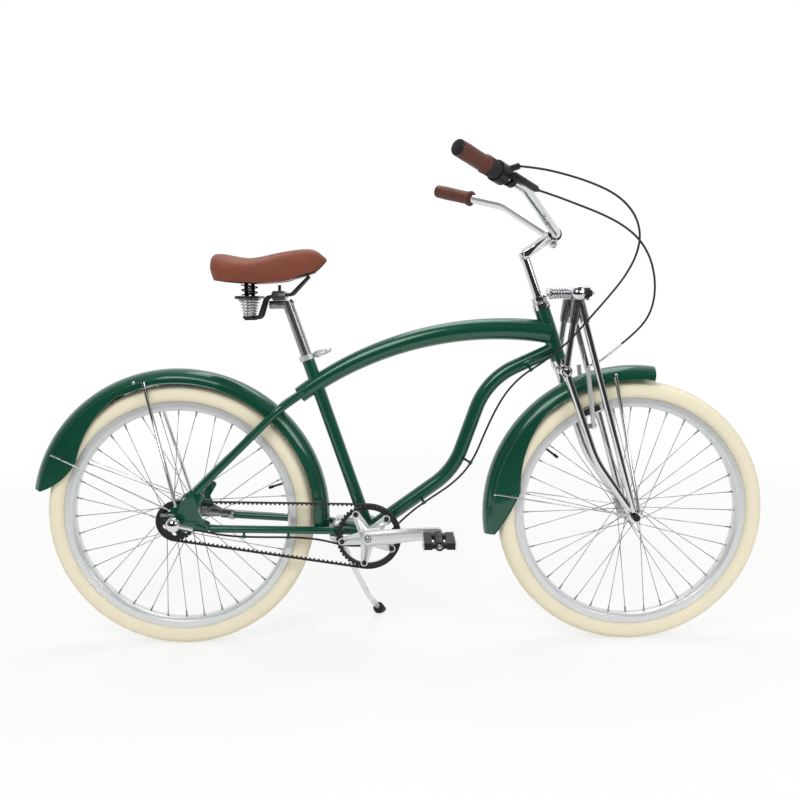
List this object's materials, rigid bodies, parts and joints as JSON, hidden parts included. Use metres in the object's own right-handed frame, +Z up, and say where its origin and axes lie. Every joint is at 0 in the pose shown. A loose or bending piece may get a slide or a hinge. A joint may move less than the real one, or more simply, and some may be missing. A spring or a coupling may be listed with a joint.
{
  "type": "beach cruiser bicycle",
  "caption": "Beach cruiser bicycle with an arched frame, springer fork, toothed belt drive, deep mudguards, swept-back bar, sprung saddle and kickstand.",
  "frame": {"origin": "on the ground, midway between the rearmost and foremost points, in the middle plane", "axes": "+X forward, +Y to the rider's left, +Z up"},
  "size_m": [1.8268, 0.7028, 1.1889],
  "materials": {
    "green_paint": "gloss emerald enamel",
    "cream_tyre": "matt cream rubber",
    "rim_silver": "satin anodised",
    "chrome": "polished chrome",
    "black_plastic": "satin black",
    "brown_leather": "semi-matt brown",
    "brown_grip": "stitched brown",
    "steel": "zinc plated",
    "aluminium": "polished",
    "black_cable": "satin black",
    "black_rubber": "matt black",
    "black_steel": "black enamel",
    "black_metal": "black anodised"
  },
  "bodies": {
    "frame": {"head_tube": "green_paint", "top_tube": "green_paint", "down_tube": "green_paint", "seat_tube": "green_paint", "bottom_bracket_shell": "green_paint", "chain_stays": "green_paint", "seat_stays": "green_paint", "dropouts": "green_paint", "frame_bearings": "steel", "seat_collar": "aluminium", "rear_mudguard": "green_paint", "rear_mudguard_stays": "chrome", "rear_axle": "steel", "shift_bell": "chrome", "coaster_brake_arm": "steel", "kickstand_bracket": "steel", "cable_clips": "green_paint", "shift_cable": "black_cable", "drive_belt": "black_rubber"},
    "collar_lever": {"seat_collar_lever": "chrome"},
    "seat_post": {"seat_post": "aluminium", "saddle_rails": "black_steel"},
    "saddle": {"saddle_cover": "brown_leather", "saddle_pan": "black_steel", "saddle_springs": "black_steel"},
    "crank": {"crank_axles": "steel", "right_crank": "aluminium", "left_crank": "aluminium", "front_sprocket": "black_metal"},
    "right_pedal": {"right_pedal": "black_plastic"},
    "left_pedal": {"left_pedal": "black_plastic"},
    "rear_sprocket": {"rear_sprocket": "black_metal"},
    "rear_wheel": {"rear_tyre": "cream_tyre", "rear_rim": "rim_silver", "rear_spokes": "steel", "rear_hub": "aluminium"},
    "steering": {"fork_crown": "chrome", "stem": "aluminium", "handlebar": "chrome", "grips": "brown_grip", "lever_bracket": "black_plastic", "shifter_body": "black_plastic", "spring_perch": "chrome", "spring_bumpers": "black_rubber", "fork_springs": "chrome", "brake_cable": "black_cable"},
    "brake_lever": {"brake_lever": "aluminium"},
    "twist_grip": {"twist_grip": "black_rubber"},
    "kickstand": {"kickstand_leg": "chrome"},
    "fork_legs": {"fork_blades": "chrome", "fork_truss": "chrome", "front_mudguard": "green_paint", "front_mudguard_stays": "chrome", "front_axle": "steel"},
    "front_wheel": {"front_tyre": "cream_tyre", "front_rim": "rim_silver", "front_spokes": "steel", "front_hub": "aluminium"},
    "right_brake_arm": {"right_brake_arm": "aluminium"},
    "left_brake_arm": {"left_brake_arm": "aluminium"}
  },
  "joints": [
    {"name": "steering", "type": "hinge", "parent": "frame", "child": "steering", "pos_m": [0.35243, 0, 0.8445], "axis": [-0.3256, 0, 0.9455], "range_deg": [-45, 45], "deforming": ["shift_cable"]},
    {"name": "fork_swing", "type": "hinge", "parent": "steering", "child": "fork_legs", "pos_m": [0.40387, 0, 0.69511], "axis": [0, -1, 0], "range_deg": [0, 4], "stiffness_Nm_per_rad": 900, "springref_deg": -2.01, "deforming": ["fork_springs", "brake_cable"]},
    {"name": "front_wheel_spin", "type": "hinge", "parent": "fork_legs", "child": "front_wheel", "pos_m": [0.58044, 0, 0.333], "axis": [0, 1, 0], "continuous": true},
    {"name": "rear_wheel_spin", "type": "hinge", "parent": "frame", "child": "rear_wheel", "pos_m": [-0.54957, 0, 0.333], "axis": [0, 1, 0], "continuous": true},
    {"name": "crank_spin", "type": "hinge", "parent": "frame", "child": "crank", "pos_m": [-0.07958, 0, 0.29], "axis": [0, 1, 0], "continuous": true, "deforming": ["drive_belt"]},
    {"name": "rear_sprocket_spin", "type": "hinge", "parent": "frame", "child": "rear_sprocket", "pos_m": [-0.54957, 0, 0.333], "axis": [0, 1, 0], "continuous": true},
    {"name": "right_pedal_spin", "type": "hinge", "parent": "crank", "child": "right_pedal", "pos_m": [0.09, -0.0805, 0.30186], "axis": [0, 1, 0], "continuous": true},
    {"name": "left_pedal_spin", "type": "hinge", "parent": "crank", "child": "left_pedal", "pos_m": [-0.24917, 0.0805, 0.27814], "axis": [0, 1, 0], "continuous": true},
    {"name": "brake_lever_pull", "type": "hinge", "parent": "steering", "child": "brake_lever", "pos_m": [0.21072, -0.17834, 1.13718], "axis": [0.3441, 0, 0.9389], "range_deg": [0, 12], "stiffness_Nm_per_rad": 2, "springref_deg": -5.73},
    {"name": "right_brake_close", "type": "hinge", "parent": "fork_legs", "child": "right_brake_arm", "pos_m": [0.47444, -0.0495, 0.561], "axis": [-0.9925, 0, -0.1219], "range_deg": [0, 2.16]},
    {"name": "left_brake_close", "type": "hinge", "parent": "fork_legs", "child": "left_brake_arm", "pos_m": [0.47444, 0.0495, 0.561], "axis": [0.9925, 0, 0.1219], "range_deg": [0, 2.16]},
    {"name": "shift_twist", "type": "hinge", "parent": "steering", "child": "twist_grip", "pos_m": [0.18086, -0.27241, 1.14812], "axis": [0.6785, 0.6912, -0.2487], "range_deg": [0, 90]},
    {"name": "kickstand_fold", "type": "hinge", "parent": "frame", "child": "kickstand", "pos_m": [-0.16357, 0.045, 0.263], "axis": [0.1826, 0.9129, 0.3651], "range_deg": [0, 118]},
    {"name": "seat_post_slide", "type": "slide", "parent": "frame", "child": "seat_post", "axis": [-0.3175, 0, 0.9483], "range_m": [-0.08, 0.06]},
    {"name": "collar_lever_open", "type": "hinge", "parent": "frame", "child": "collar_lever", "pos_m": [-0.19927, 0, 0.73884], "axis": [0, -1, 0], "range_deg": [0, 90]},
    {"name": "saddle_bounce", "type": "hinge", "parent": "seat_post", "child": "saddle", "pos_m": [-0.21959, 0, 0.925], "axis": [0, -1, 0], "range_deg": [0, 2.5], "stiffness_Nm_per_rad": 150, "springref_deg": -2.86, "deforming": ["saddle_springs"]}
  ],
  "couplings": [
    {"joint": "rear_sprocket_spin", "follows": "crank_spin", "ratio": 1.6429},
    {"joint": "right_brake_close", "follows": "brake_lever_pull", "ratio": 0.18},
    {"joint": "left_brake_close", "follows": "brake_lever_pull", "ratio": 0.18}
  ]
}
